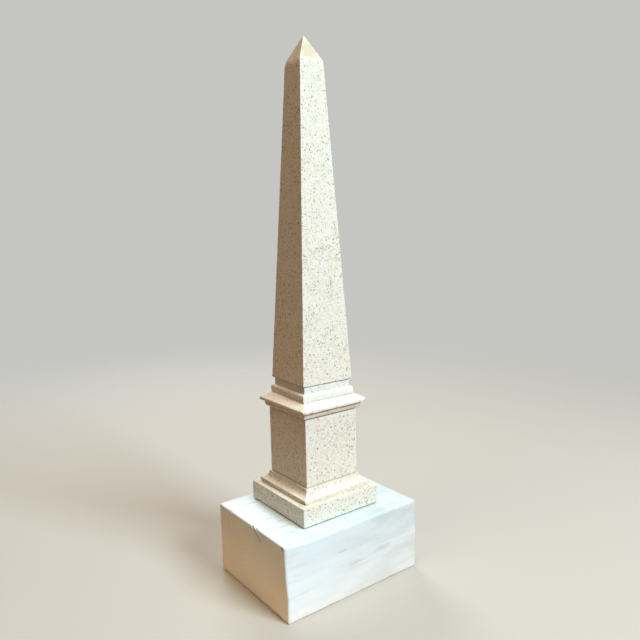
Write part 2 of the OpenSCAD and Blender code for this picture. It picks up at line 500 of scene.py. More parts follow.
def make_cement():
    """Sandy cement in the joints, paler where it is buttered over the edge."""
    tint = bpy.context.scene.obelisk_finishes
    material, g, place, shader = start_material("cement_finish")
    patch = g.mottling(place, 0.004, 0.35, 0.68)
    colour = g.wash(tint.cement, patch, 0.6, CEMENT_PATCH)
    sand = g.speckles(place, 0.0009, 0.6, 0.4, 0.4)
    colour = g.wash(colour, sand["Mask"], 0.45, CEMENT_SAND)
    buttered = g.blend(patch, BUTTERED_PALE, BUTTERED_CREAM)
    colour = g.blend(g.attribute("buttered"), colour, buttered)
    grit = g.noise(place, 2200.0, 2.0, 0.6)["Fac"]
    finish_surface(g, shader, colour, g.line(patch, 0.08, 0.86), grit, 0.6, 0.2 * MM)
    return material


RUBBER_DUST = (0.16, 0.15, 0.12)
RUBBER_FLECKS = (0.30, 0.28, 0.24)


def make_dark_rubber():
    """Dull black rubber with patches of dust and pale flecks."""
    tint = bpy.context.scene.obelisk_finishes
    material, g, place, shader = start_material("dark_rubber_finish")
    dust = g.mottling(place, 0.006, 0.45, 0.75)
    colour = g.wash(tint.rubber, dust, 0.35, RUBBER_DUST)
    flecks = g.speckles(place, 0.0016, 0.3, 0.3, 0.5)
    colour = g.wash(colour, flecks["Mask"], 0.4, RUBBER_FLECKS)
    grain = g.noise(place, 1500.0, 2.0, 0.5)["Fac"]
    finish_surface(g, shader, colour, g.line(dust, 0.15, 0.78), grain, 0.3, 0.1 * MM)
    return material


RUBBED_DASHES = (
    # middle x, y, z, half length and half width in mm, and the slope
    (-66.0, -27.2, 82.5, 13.0, 2.2, 0.0),
    (-81.0, -27.8, 82.5, 7.0, 1.8, -0.3),
    (-65.5, -42.3, 82.5, 8.0, 1.9, -0.2),
    (-71.5, -1.2, 82.5, 9.0, 2.4, 0.0),
    (-61.5, -13.2, 82.5, 7.0, 2.0, -0.2),
    (-18.5, -70.0, 56.6, 9.0, 2.2, 0.0),
    (1.5, -70.0, 37.2, 15.0, 2.6, 0.05),
    (38.0, -70.0, 41.0, 18.0, 4.0, 0.0),
)
PAINT_PATCH = (0.67, 0.82, 0.905)
PAINT_GREY_AND_SHADE = (0.51, 0.60, 0.62)
PAINT_SMOKED = (0.70, 0.68, 0.64)
DASH_GREY = (0.37, 0.45, 0.48)
RUBBED_PAINT = (0.62, 0.60, 0.54)


def make_painted_wood():
    """Chalky white paint brushed over timber, with the grain just showing."""
    tint = bpy.context.scene.obelisk_finishes
    material, g, place, shader = start_material("painted_wood_finish")
    figure = g.group("Timber Figure", Vector=place, Ring=0.0052, Waviness=0.0035)

    lean = g.facing()
    end_grain = g.remap(g.math("ABSOLUTE", lean["X"]), 0.6, 0.9)
    upward = g.remap(lean["Z"], 0.6, 0.95)
    long_side = g.math("SUBTRACT", 1.0, end_grain)

    patch = g.mottling(g.scale(place, (0.5, 1.0, 1.0)), 0.030, 0.35, 0.68)
    colour = g.wash(tint.paint, patch, 0.22, PAINT_PATCH)

    thin = g.times(g.remap(figure["Streaks"], 0.50, 0.72), g.line(patch, 0.7, 0.3))
    thin = g.times(thin, g.times(long_side, g.line(upward, 0.55, 0.35)))
    colour = g.wash(colour, thin, 0.92, tint.paint_thin)

    # Greyer paint and painted shade on the long faces, darker towards the block's right end.
    toward_right = g.remap(g.parts(place)["X"], -0.09, 0.06)
    drift = g.mottling(g.scale(place, (0.30, 1.0, 1.0)), 0.017, 0.36, 0.66, 4.0)
    greyed_and_shaded = g.times(g.line(drift, 0.42, 0.36), g.line(toward_right, 0.95, 0.05))
    colour = g.wash(colour, greyed_and_shaded, long_side, PAINT_GREY_AND_SHADE)

    colour = g.wash(colour, figure["Rings"], g.line(end_grain, 0.09, 0.13), tint.paint_thin)
    fibres = g.times(g.remap(figure["Fibres"], 0.56, 0.74), long_side)
    colour = g.wash(colour, fibres, 0.14, tint.paint_thin)
    smoked = g.times(g.mottling(g.add(place, (0.4, 0.2, 0.1)), 0.045, 0.42, 0.70, 2.0), end_grain)
    colour = g.wash(colour, smoked, 0.18, PAINT_SMOKED)

    for x, y, z, length, width, slope in RUBBED_DASHES:
        dash = g.group(
            "Rubbed Dash", Vector=place, Middle_X=x * MM, Middle_Y=y * MM, Middle_Z=z * MM,
            Length=length * MM, Width=width * MM, Slope=slope)["Mask"]
        colour = g.wash(colour, dash, 0.40, DASH_GREY)

    rubbed = g.group("Worn Arrises", Vector=place, Patch=0.009, Reach=0.12)["Mask"]
    colour = g.wash(colour, rubbed, 0.30, RUBBED_PAINT)
    colour = g.blend(g.remap(g.attribute("bare"), 0.2, 0.9), colour, tint.timber)

    shader.inputs["Specular IOR Level"].default_value = 0.3
    relief = g.node("ShaderNodeMix", {"Factor": end_grain}, data_type="FLOAT")
    g.feed(relief.inputs[2], g.drawn_out(place, (60.0, 1300.0, 1300.0))["Fac"])
    g.feed(relief.inputs[3], g.drawn_out(place, (400.0, 700.0, 90.0))["Fac"])
    height = g.math("SUBTRACT", relief.outputs[0], g.times(figure["Rings"], 0.25))
    orange_peel = g.noise(place, 900.0, 2.0, 0.5)["Fac"]
    height = g.line(orange_peel, 0.25, height)
    finish_surface(g, shader, colour, g.line(thin, 0.15, 0.62), height, 0.45, 0.3 * MM)
    return material


MATERIAL_MAKERS = {
    "speckled_stone": make_speckled_stone,
    "cement": make_cement,
    "dark_rubber": make_dark_rubber,
    "painted_wood": make_painted_wood,
}


def finish_for(slot):
    """The material for one of the finish slots, made the first time it is asked for."""
    if "Speckles" not in bpy.data.node_groups:
        for build in GROUP_BUILDERS:
            build()
    return bpy.data.materials.get(slot + "_finish") or MATERIAL_MAKERS[slot]()


# -------------------------------------------------------------- mesh helpers

def arc(centre, radius, start, end, steps):
    """Points on an arc of an outline, from one angle to another in degrees."""
    points = []
    for step in range(steps + 1):
        angle = math.radians(start + (end - start) * step / steps)
        points.append((centre[0] + radius * math.cos(angle), centre[1] + radius * math.sin(angle)))
    return points


def rounded_corner(before, corner, after, radius, steps):
    """An arc that takes the place of an outline's corner."""
    before, corner, after = Vector(before), Vector(corner), Vector(after)
    inward, outward = (before - corner).normalized(), (after - corner).normalized()
    half = inward.angle(outward) / 2
    middle = corner + (inward + outward).normalized() * radius / math.sin(half)
    first = corner + inward * radius / math.tan(half) - middle
    last = corner + outward * radius / math.tan(half) - middle
    return [tuple(middle + first.slerp(last, step / steps) * radius) for step in range(steps + 1)]


def stepped(outline, step):
    """The outline with its long runs broken into short ones."""
    points = [outline[0]]
    for start, end in zip(outline, outline[1:]):
        run = math.dist(start, end)
        if run < 1e-7:
            continue
        pieces = max(1, round(run / step))
        for piece in range(1, pieces + 1):
            share = piece / pieces
            points.append((start[0] + (end[0] - start[0]) * share, start[1] + (end[1] - start[1]) * share))
    return points


def spin_square(bm, outline):
    """Sweeps an outline of half widths and heights round the obelisk's axis in four flat sides."""
    corners = [bm.verts.new((half, AXIS_Y + half, height)) for half, height in outline]
    edges = [bm.edges.new(pair) for pair in zip(corners, corners[1:])]
    bmesh.ops.spin(
        bm, geom=corners + edges, cent=(0.0, AXIS_Y, 0.0), axis=(0.0, 0.0, 1.0),
        angle=math.tau, steps=4, use_merge=True, use_duplicate=False)
    bmesh.ops.remove_doubles(bm, verts=bm.verts[:], dist=1e-6)
    bmesh.ops.recalc_face_normals(bm, faces=bm.faces[:])


def tag_layer(bm):
    return bm.faces.layers.int.get("arris") or bm.faces.layers.int.new("arris")


def soften(bm, edges, width, segments):
    """Bevels edges and tags the faces that this makes."""
    tag = tag_layer(bm)
    made = bmesh.ops.bevel(
        bm, geom=edges, offset=width, offset_type="OFFSET", affect="EDGES",
        segments=segments, profile=0.5, material=-1, clamp_overlap=True, loop_slide=True)
    for face in made["faces"]:
        face[tag] = 1


def box_mesh(low, high):
    """A new bmesh of the box between two corners."""
    bm = bmesh.new()
    bmesh.ops.create_cube(bm, size=1.0)
    bmesh.ops.scale(bm, vec=high - low, verts=bm.verts[:])
    bmesh.ops.translate(bm, vec=(low + high) / 2, verts=bm.verts[:])
    return bm


def rise(edge):
    """How far an edge climbs from one end to the other."""
    return abs(edge.verts[0].co.z - edge.verts[1].co.z)


def upright_edges(bm):
    return [edge for edge in bm.edges if rise(edge) > LEVEL_WITHIN]


def level_rims(bm):
    """The level edges where upright sides meet the top and the bottom."""
    return [
        edge for edge in bm.edges
        if len(edge.link_faces) == 2 and rise(edge) < LEVEL_WITHIN and edge.calc_face_angle() > RIM_ANGLE]


def sharp_edges(bm, convex=True):
    """Edges where two faces meet at more than a slight angle."""
    bm.normal_update()
    side = 1 if convex else -1
    return [
        edge for edge in bm.edges
        if len(edge.link_faces) == 2 and edge.calc_face_angle_signed() * side > ARRIS_ANGLE]


def cut_across(bm, axis, step, shortest):
    """Cuts the edges that run along one axis into short ones, the same number each."""
    chosen = []
    for edge in bm.edges:
        run = edge.verts[1].co - edge.verts[0].co
        if edge.calc_length() > shortest and abs(run[axis]) > 0.9995 * run.length:
            chosen.append(edge)
    if chosen:
        longest = max(edge.calc_length() for edge in chosen)
        cuts = max(1, round(longest / step) - 1)
        bmesh.ops.subdivide_edges(bm, edges=chosen, cuts=cuts, use_grid_fill=True)


def refine(bm, middle, reach, times):
    """Cuts the faces near a point finer."""
    for _ in range(times):
        edges = set()
        for face in bm.faces:
            offset = face.calc_center_median() - middle
            if all(abs(offset[axis]) < reach[axis] for axis in range(3)):
                edges.update(face.edges)
        bmesh.ops.subdivide_edges(bm, edges=list(edges), cuts=1, use_grid_fill=True)


def closeness(bm, points, reach):
    """How near each vertex is to a set of points: 1 on one, 0 at reach or beyond."""
    if not points:
        return [0.0] * len(bm.verts)
    tree = KDTree(len(points))
    for index, point in enumerate(points):
        tree.insert(point, index)
    tree.balance()
    return [max(0.0, 1.0 - tree.find(vert.co)[2] / reach) for vert in bm.verts]


def near_arrises(bm, reach):
    """How near each vertex is to a softened arris."""
    tag = tag_layer(bm)
    return closeness(
        bm, [vert.co.copy() for vert in bm.verts if any(face[tag] for face in vert.link_faces)], reach)


def swell(point):
    """Smooth noise from 0 to 1."""
    return 0.5 + 0.5 * noise.noise(point)


def ripples(point, waves):
    """Smooth noise added up from waves, each of a size and a strength."""
    return sum(strength * noise.noise(point / size) for size, strength in waves)


ARRIS_REACH = 2.2 * MM
QUIRK_REACH = 2.0 * MM
BEDDING_REACH = 1.0 * MM
HOLLOW_SIZE = 14 * MM
DIMPLE_SIZE = 3.1 * MM
CHIP_WAVES = ((2.3 * MM, 1.0), (0.9 * MM, 0.6), (7.0 * MM, 0.5))


def weather_stone(bm, sizes, beds, extra_wear=None, knocks=(), painted_shade_at=None):
    """Shallow hollows, chipped arrises and knocks, all inwards, with the wear attribute and the quirk
    attribute of painted shade.

    beds are the heights of the bedding faces. extra_wear(point) multiplies the
    chips, and each knock is a point, a radius and a depth. painted_shade_at(point)
    gives how much painted shade falls there.
    """
    quirks = [(edge.verts[0].co + edge.verts[1].co) / 2 for edge in sharp_edges(bm, convex=False)]
    near_arris = near_arrises(bm, ARRIS_REACH)
    near_quirk = closeness(bm, quirks, QUIRK_REACH)
    wear = bm.verts.layers.float.new("wear")
    quirk = bm.verts.layers.float.new("quirk")
    bm.normal_update()
    moves = []
    for index, vert in enumerate(bm.verts):
        point = vert.co
        near = near_arris[index]
        hollow = sizes.hollow_depth * swell(point / HOLLOW_SIZE)
        hollow += 0.25 * sizes.hollow_depth * swell(point / DIMPLE_SIZE)
        rough = ripples(point, CHIP_WAVES)
        strength = extra_wear(point) if extra_wear else 1.0
        broken = max(0.0, rough - 0.22 + 0.25 * (strength - 1.0))
        chip = sizes.chip_depth * near * near * broken * strength
        for place, radius, depth in knocks:
            away = (point - place).length / radius
            if away < 1.0:
                chip += depth * (1.0 - away * away) ** 2
        bedding = max(max(0.0, 1.0 - abs(point.z - height) / BEDDING_REACH) for height in beds)
        vert[wear] = near
        shade_here = painted_shade_at(point) if painted_shade_at else 0.0
        # Painted shade: this attribute darkens the stone in the quirks, along the beds and under the nosing.
        vert[quirk] = max(0.8 * near_quirk[index], 0.5 * bedding, shade_here)
        moves.append((vert, -vert.normal * (hollow + chip)))
    for vert, move in moves:
        vert.co += move


def finished_object(bm, name, slot, nodes):
    """Turns a bmesh into a piece that rides on the body and stands for frame nodes."""
    for edge in sharp_edges(bm, convex=False):
        edge.smooth = False
    for face in bm.faces:
        face.smooth = True
    mesh = bpy.data.meshes.new(name)
    bm.to_mesh(mesh)
    bm.free()
    piece = bpy.data.objects.new(name, mesh)
    bpy.context.collection.objects.link(piece)
    mesh.materials.append(finish_for(slot))
    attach(piece, BODY)
    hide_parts(*nodes)


def turn_on_bed(bm, angle):
    """Turns a stone a little about the obelisk's axis, as it was set by hand."""
    bmesh.ops.rotate(
        bm, cent=(0.0, AXIS_Y, 0.0), matrix=Matrix.Rotation(angle, 3, "Z"), verts=bm.verts[:])


def bedded(outline, half, lower, upper):
    """An outline closed by its bedding faces, which reach in to shares of the half width."""
    return [(lower * half, outline[0][1]), *outline, (upper * half, outline[-1][1])]


def make_stone(
        name, node, outline, extra_wear=None, knocks=(), reshape=None, step=None, fine=1.5 * MM,
        turn=0.0, lime=0.0, painted_shade_at=None):
    """A four-sided stone from its outline, softened, cut fine, weathered and closed."""
    sizes = bpy.context.scene.obelisk_stones
    step = step or sizes.mesh_step
    low, high = node_box(node)
    bm = bmesh.new()
    spin_square(bm, stepped(outline, step))
    soften(bm, sharp_edges(bm), sizes.arris, 2)
    for axis in (0, 1):
        cut_across(bm, axis, step, fine)
    if reshape:
        reshape(bm)
    weather_stone(bm, sizes, (low.z, high.z), extra_wear, knocks, painted_shade_at)
    limed = bm.verts.layers.float.new("limed")
    for vert in bm.verts:
        vert[limed] = lime
    turn_on_bed(bm, turn)
    bmesh.ops.remove_doubles(bm, verts=bm.verts[:], dist=0.03 * MM)
    open_edges = [edge for edge in bm.edges if edge.is_boundary]
    bmesh.ops.holes_fill(bm, edges=open_edges, sides=0)
    bmesh.ops.recalc_face_normals(bm, faces=bm.faces[:])
    finished_object(bm, name, "speckled_stone", [node])


# ------------------------------------------------------------------- pieces

class OBELISK_OT_block(bpy.types.Operator):
    """Make the white-painted wood block"""
    bl_idname = "obelisk.make_block"
    bl_label = "Wood Block"

    # The drying split on the left end: for each arm its half width in mm, its
    # strength, and its points as (y, z) in mm.
    SPLIT_ARMS = (
        (1.15, 1.0, (
            (-3.0, 83.5), (-4.8, 80.6), (-7.8, 77.7), (-12.7, 75.1), (-17.6, 72.5), (-20.5, 70.3))),
        (0.85, 0.6, ((-10.0, 83.0), (-12.5, 81.3), (-20.1, 79.4), (-24.5, 76.6))),
    )
    # How far the stain reaches from the split, in mm.
    STAIN_REACH = 4.0
    # Two hollows, each a middle, and a radius and a depth in mm. The nick shows bare timber.
    NICK = (Vector((-91.0, -63.2, 79.8)) * MM, 2.2, 2.4)
    CHIP = (Vector((-91.0, -66.4, 60.5)) * MM, 3.0, 1.1)
    EDGE_REACH = 5 * MM
    WAVE_SIZE = (70 * MM, 11 * MM, 11 * MM)
    DENT_WAVES = ((8 * MM, 1.0), (3 * MM, 0.5))

    @staticmethod
    def distance_to_arm(point, arm):
        """How far in mm a point is from an arm of the split, and the share of the arm before it."""
        best, along = 1e9, 0.0
        spot = Vector((point.y, point.z)) / MM
        total = len(arm) - 1
        for index in range(total):
            start, end = Vector(arm[index]), Vector(arm[index + 1])
            run = end - start
            share = min(1.0, max(0.0, (spot - start).dot(run) / run.length_squared))
            away = (spot - start - run * share).length
            if away < best:
                best, along = away, (index + share) / total
        return best, along

    def split_at(self, point):
        """The split's depth at a point, as a share of the whole, and how much timber it bares."""
        depth, bared = 0.0, 0.0
        for width, strength, arm in self.SPLIT_ARMS:
            away, along = self.distance_to_arm(point, arm)
            half = width * (1.0 - 0.55 * along)
            groove = max(0.0, 1.0 - (away / half / 1.6) ** 2)
            depth += strength * (1.0 - 0.5 * along) * groove
            stained = max(0.0, 1.0 - away / self.STAIN_REACH) * (1.0 - 0.6 * along)
            bared = max(bared, 0.72 * strength * min(1.0, groove * 1.6), 0.45 * stained)
        return depth, bared

    @staticmethod
    def scooped(point, hollow):
        """The share of a hollow's depth at a point, and the depth there."""
        middle, radius, depth = hollow
        share = max(0.0, 1.0 - ((point - middle).length / MM / radius) ** 2)
        return share, depth * MM * share

    @staticmethod
    def planed_back(point, low, amount):
        """How far back the front face was planed, most at the top of its left end."""
        height = min(1.0, max(0.0, (point.z - 26 * MM) / (36 * MM)))
        across = max(0.0, 1.0 - (point.x - low.x) / (48 * MM))
        inward = max(0.0, 1.0 - (point.y - low.y) / (14 * MM))
        return amount * height * height * (3.0 - 2.0 * height) * across * across * inward

    def wear_down(self, bm, sizes, low):
        """Waves, dents, the split, the nick, the chip and the planed face, all inwards."""
        near_edge = near_arrises(bm, self.EDGE_REACH)
        wear = bm.verts.layers.float.new("wear")
        bare = bm.verts.layers.float.new("bare")
        bm.normal_update()
        moves = []
        for index, vert in enumerate(bm.verts):
            point, near = vert.co, near_edge[index]
            grain = Vector([point[axis] / self.WAVE_SIZE[axis] for axis in range(3)])
            depth = sizes.waviness * swell(grain)
            depth += sizes.dent_depth * near * near * max(0.0, ripples(point, self.DENT_WAVES) - 0.1)
            exposed = 0.0
            if vert.normal.x < -0.3:
                split, exposed = self.split_at(point)
                depth += sizes.split_depth * split
            share, nick = self.scooped(point, self.NICK)
            if share > 0.0:
                exposed = max(exposed, share + 0.2)
            depth += nick + self.scooped(point, self.CHIP)[1]
            vert[wear] = near
            vert[bare] = exposed
            back = Vector((0.0, self.planed_back(point, low, sizes.plane_back), 0.0))
            moves.append((vert, back - vert.normal * depth))
        for vert, move in moves:
            vert.co += move
            vert.co.z = max(vert.co.z, low.z)
        bottom = min(vert.co.z for vert in bm.verts)
        for vert in bm.verts:
            if vert.co.z < bottom + 0.6 * MM and vert.normal.z < -0.9:
                vert.co.z = low.z

    def execute(self, context):
        sizes = context.scene.obelisk_block
        low, high = node_box("wood_block")
        bm = box_mesh(low, high)
        soften(bm, upright_edges(bm), sizes.upright_ease, 5)
        bm.normal_update()
        soften(bm, level_rims(bm), sizes.edge_ease, 4)
        for axis in range(3):
            cut_across(bm, axis, sizes.mesh_step, 10 * MM)
        refine(bm, Vector((low.x, -13 * MM, 77 * MM)), (4 * MM, 15 * MM, 9 * MM), 2)
        refine(bm, self.NICK[0], (4 * MM, 3.5 * MM, 4 * MM), 2)
        refine(bm, Vector((low.x, low.y, 56 * MM)), (5 * MM, 5 * MM, 9 * MM), 1)
        bmesh.ops.recalc_face_normals(bm, faces=bm.faces[:])
        self.wear_down(bm, sizes, low)
        finished_object(bm, "painted_block", "painted_wood", ["wood_block"])
        return {"FINISHED"}


def slab(low, high, corner, corner_steps, edge, step, ragged, seed_offset):
    """A thin bed with rounded corners, soft edges and a slightly ragged outline."""
    bm = box_mesh(low, high)
    soften(bm, upright_edges(bm), corner, corner_steps)
    soften(bm, level_rims(bm), edge, 2)
    for axis in (0, 1):
        cut_across(bm, axis, step, 3 * MM)
    bmesh.ops.recalc_face_normals(bm, faces=bm.faces[:])
    middle = (low + high) / 2
    for vert in bm.verts:
        out = Vector((vert.co.x - middle.x, vert.co.y - middle.y, 0.0))
        if max(abs(out.x) / (high.x - low.x), abs(out.y) / (high.y - low.y)) < 0.47:
            continue
        wave = swell(vert.co / (5 * MM) + Vector((0.0, 0.0, seed_offset)))
        vert.co -= out.normalized() * ragged * wave
    return bm


class OBELISK_OT_pad(bpy.types.Operator):
    """Make the dark rubber pad under the plinth"""
    bl_idname = "obelisk.make_pad"
    bl_label = "Rubber Pad"

    def execute(self, context):
        sizes = context.scene.obelisk_block
        low, high = node_box("plinth_pad")
        bm = slab(low, high, sizes.pad_corner, 6, 0.22 * MM, 2.5 * MM, 0.35 * MM, 1.0)
        finished_object(bm, "rubber_pad", "dark_rubber", ["plinth_pad"])
        return {"FINISHED"}


class OBELISK_OT_joints(bpy.types.Operator):
    """Make the cement joints between the stones"""
    bl_idname = "obelisk.make_joints"
    bl_label = "Cement Joints"

    def execute(self, context):
        turn = context.scene.obelisk_stones.shaft_turn
        # How far each bed is spread past the frame's, how pale it is, and its turn.
        beds = {
            "base_joint": (0.65 * MM, 0.85, 0.0),
            "die_joint": (0.0, 0.15, 0.0),
            "cornice_joint": (0.35 * MM, 0.5, 0.0),
            "neck_joint": (0.75 * MM, 1.0, turn),
            "shaft_joint": (0.0, 0.1, turn),
        }
        for index, (node, (spread, paleness, angle)) in enumerate(beds.items()):
            low, high = node_box(node)
            wider = Vector((spread, spread, 0.0))
            bm = slab(low - wider, high + wider, 0.5 * MM, 2, 0.1 * MM, 1.5 * MM, 0.3 * MM, 3.7 * index)
            buttered = bm.verts.layers.float.new("buttered")
            for vert in bm.verts:
                vert[buttered] = paleness
                if node == "base_joint" and vert.co.x < low.x + 1 * MM:
                    # Along the left side the cement has dropped out.
                    vert[buttered] = 0.0
                    vert.co.x += 2.6 * MM
            turn_on_bed(bm, angle)
            finished_object(bm, node + "_bed", "cement", [node])
        return {"FINISHED"}


class OBELISK_OT_plinth(bpy.types.Operator):
    """Make the square plinth"""
    bl_idname = "obelisk.make_plinth"
    bl_label = "Plinth"

    def execute(self, context):
        low, high = node_box("plinth")
        half = half_width("plinth")
        outline = bedded([(half, low.z), (half, high.z)], half, 0.65, 0.7)

        def wear_of(point):
            chewed = point.x < low.x + 2 * MM and point.z > high.z - 3 * MM
            lower_right = point.x > high.x - 3 * MM and point.z < low.z + 4 * MM
            return 1.9 if chewed else 1.8 if lower_right else 1.0

        knocks = [
            (Vector((high.x, low.y, low.z)), 5 * MM, 1.2 * MM),
            (Vector((low.x, high.y, high.z)), 4 * MM, 1.0 * MM),
        ]
        make_stone("plinth_stone", "plinth", outline, wear_of, knocks)
        return {"FINISHED"}


class OBELISK_OT_base_moulding(bpy.types.Operator):
    """Make the base moulding with its fillet, cove and rim"""
    bl_idname = "obelisk.make_base_moulding"
    bl_label = "Base Moulding"

    def execute(self, context):
        sizes = context.scene.obelisk_stones
        low, high = node_box("base_moulding")
        half = half_width("base_moulding")
        cove_top = high.z - sizes.rim_height
        outline = [(half, low.z)]
        outline += arc((half, cove_top), sizes.cove_radius, 270, 180, 12)
        outline += [(half - sizes.cove_radius, high.z)]

        def undercut(point):
            """The bedding arris is broken away along the left side, most near the front corner."""
            if point.x < low.x + 1.5 * MM and point.z < low.z + 1.4 * MM:
                return 1.4 + 2.2 * max(0.0, 1.0 - (point.y - low.y) / (16 * MM))
            return 1.0

        make_stone("base_moulding_stone", "base_moulding", bedded(outline, half, 0.65, 0.6), undercut)
        return {"FINISHED"}


class OBELISK_OT_die(bpy.types.Operator):
    """Make the plain square die"""
    bl_idname = "obelisk.make_die"
    bl_label = "Die"

    def execute(self, context):
        low, high = node_box("die")
        half = half_width("die")
        make_stone("die_stone", "die", bedded([(half, low.z), (half, high.z)], half, 0.6, 0.6))
        return {"FINISHED"}


class OBELISK_OT_cornice(bpy.types.Operator):
    """Make the cornice with its ovolo, fillets and sloping top"""
    bl_idname = "obelisk.make_cornice"
    bl_label = "Cornice"

    def execute(self, context):
        sizes = context.scene.obelisk_stones
        low, high = node_box("cornice")
        half = half_width("cornice")
        bed = half - sizes.cornice_out
        foot = bed - sizes.ovolo_radius
        soffit = low.z + sizes.ovolo_radius + sizes.bed_fillet
        outline = arc((foot, low.z + sizes.ovolo_radius), sizes.ovolo_radius, 270, 360, 9)
        outline += [(bed, soffit), (half, soffit), (half, soffit + sizes.cornice_fillet)]
        outline += [(half_width("neck"), high.z)]
        front = AXIS_Y - half
        knocks = [
            (Vector((low.x, front, soffit + sizes.cornice_fillet)), 5 * MM, 1.0 * MM),
            (Vector((low.x + 1 * MM, front, soffit)), 3 * MM, 1.2 * MM),
            (Vector((high.x, front, soffit + 2 * MM)), 4 * MM, 0.7 * MM),
            (Vector((low.x, 2 * AXIS_Y - front, soffit + 2 * MM)), 3.5 * MM, 0.5 * MM),
        ]

        def nosing(point):
            reach = max(abs(point.x), abs(point.y - AXIS_Y))
            return 1.5 if reach > half - 2 * MM else 1.0

        # Painted shade under the nosing, below the soffit.
        def shade_under_nosing(point):
            return 0.45 if point.z < soffit + 0.3 * MM else 0.0

        make_stone(
            "cornice_stone", "cornice", bedded(outline, foot, 0.5, 0.5), nosing, knocks, step=1.0 * MM,
            lime=0.5, painted_shade_at=shade_under_nosing)
        return {"FINISHED"}


class OBELISK_OT_neck(bpy.types.Operator):
    """Make the neck and its rounded lower step"""
    bl_idname = "obelisk.make_neck"
    bl_label = "Neck"

    def execute(self, context):
        sizes = context.scene.obelisk_stones
        low, high = node_box("neck")
        half = half_width("neck")
        neck = half - sizes.neck_in
        step_top = low.z + sizes.step_height
        outline = [(half, low.z)]
        outline += arc((half - sizes.step_round, step_top), sizes.step_round, 0, 90, 6)
        outline += [(neck, step_top + sizes.step_round), (neck, high.z)]
        make_stone(
            "neck_stone", "neck", bedded(outline, half, 0.5, 0.5), step=1.0 * MM,
            turn=sizes.shaft_turn, lime=0.8)
        return {"FINISHED"}


TIP_LEAN_ANGLE = -0.64


class OBELISK_OT_shaft(bpy.types.Operator):
    """Make the tapering shaft and its point"""
    bl_idname = "obelisk.make_shaft"
    bl_label = "Shaft"

    def execute(self, context):
        sizes = context.scene.obelisk_stones
        low, high = node_box("shaft")
        half = half_width("shaft")
        shoulder = (sizes.shoulder_width / 2, high.z - sizes.point_height)
        slant = math.atan2(shoulder[0], sizes.point_height)
        foot = (half, low.z + sizes.foot_bevel)
        tip_middle = high.z - sizes.tip_radius / math.sin(slant)
        outline = [(0.45 * half, low.z), (half - sizes.foot_bevel, low.z), foot]
        outline += rounded_corner(foot, shoulder, (0.0, high.z), sizes.shoulder_ease, 6)
        outline += arc((0.0, tip_middle), sizes.tip_radius, math.degrees(slant), 90, 3)
        lean = Vector((math.cos(TIP_LEAN_ANGLE), math.sin(TIP_LEAN_ANGLE), 0.0)) * sizes.tip_lean

        def bend_tip(bm):
            # This attribute marks the point for its yellow tint and painted shade.
            handled = bm.verts.layers.float.new("handled")
            for vert in bm.verts:
                share = (vert.co.z - shoulder[1]) / sizes.point_height
                if share > 0.0:
                    vert.co += lean * share * share
                vert[handled] = min(1.0, max(0.0, share * 6.0 + 0.3))

        knocks = [
            (Vector((-shoulder[0], AXIS_Y - shoulder[0] * 0.2, shoulder[1])), 6 * MM, 0.5 * MM),
            (Vector((-shoulder[0], AXIS_Y + shoulder[0], shoulder[1])), 5 * MM, 0.6 * MM),
        ]
        make_stone(
            "shaft_stone", "shaft", outline, None, knocks, bend_tip,
            step=1.35 * MM, fine=0.5 * MM, turn=sizes.shaft_turn)
        return {"FINISHED"}


# -------------------------------------------------------------------- stage

# Each light's place, the height on the axis that it points at, its width and
# height, all in metres, the setting that holds its power, and its colour.
LIGHTS = {
    "window_light": ((0.56, -2.0, 1.72), 0.30, (1.05, 0.9), "window", (0.81, 0.93, 1.0)),
    "overhead_light": ((-0.30, -0.30, 3.2), 0.20, (1.6, 1.6), "overhead", (1.0, 0.81, 0.53)),
    "back_light": ((0.7, 2.1, 1.2), 0.30, (1.2, 1.2), "back", (0.95, 0.97, 1.0)),
    "side_light": ((-1.7, 0.0, 2.1), 0.30, (1.1, 1.1), "side", (1.0, 0.69, 0.49)),
}
NEAR_BOUNCE = (0.85, 0.47, 0.23)
FAR_BOUNCE = (0.14, 0.11, 0.08)
FLOOR_CLOUD = (0.46, 0.45, 0.43)
FLOOR_RADIUS = 2.8
SKY_GLOW = (0.006, 0.006, 0.005)


def add_area_light(name, place, aim_height, size, power, colour):
    """A soft light that the camera doesn't see."""
    data = bpy.data.lights.new(name, "AREA")
    data.shape = "RECTANGLE"
    data.size, data.size_y = size
    data.energy = power
    data.color = colour
    light = bpy.data.objects.new(name, data)
    bpy.context.collection.objects.link(light)
    light.location = place
    aim = Vector((0.0, 0.0, aim_height))
    light.rotation_euler = (aim - Vector(place)).to_track_quat("-Z", "Y").to_euler()
    light.visible_camera = False


def make_floor_finish(settings):
    """A plain floor that fades into the backdrop and throws back warm light, as a table top does."""
    material, g, place, shader = start_material("plain_floor")
    colour = g.wash(settings.floor, g.mottling(place, 0.12, 0.2, 0.8), 0.10, FLOOR_CLOUD)
    parts = g.parts(place)
    away = g.hypotenuse(parts["X"], parts["Y"])
    bounce = g.blend(g.remap(away, 0.15, 0.34), NEAR_BOUNCE, FAR_BOUNCE)
    colour = g.blend(g.camera_ray(), bounce, colour)
    shader.inputs["Specular IOR Level"].default_value = 0.1
    g.feed(shader.inputs["Alpha"], g.remap(away, 1.5, 0.5))
    finish_surface(g, shader, colour, 0.85, g.noise(place, 300.0, 2.0)["Fac"], 0.1, 0.3 * MM)
    return material


def make_backdrop(settings):
    """A world that shows the backdrop's colour and gives hardly any light."""
    world = bpy.data.worlds.new("backdrop")
    world.use_nodes = True
    world.node_tree.nodes.clear()
    g = Graph(world.node_tree)
    colour = g.blend(g.camera_ray(), SKY_GLOW, settings.backdrop)
    sky = g.node("ShaderNodeBackground", {"Color": colour, "Strength": 1.0})
    end = g.node("ShaderNodeOutputWorld")
    g.feed(end.inputs["Surface"], sky.outputs[0])
    return world


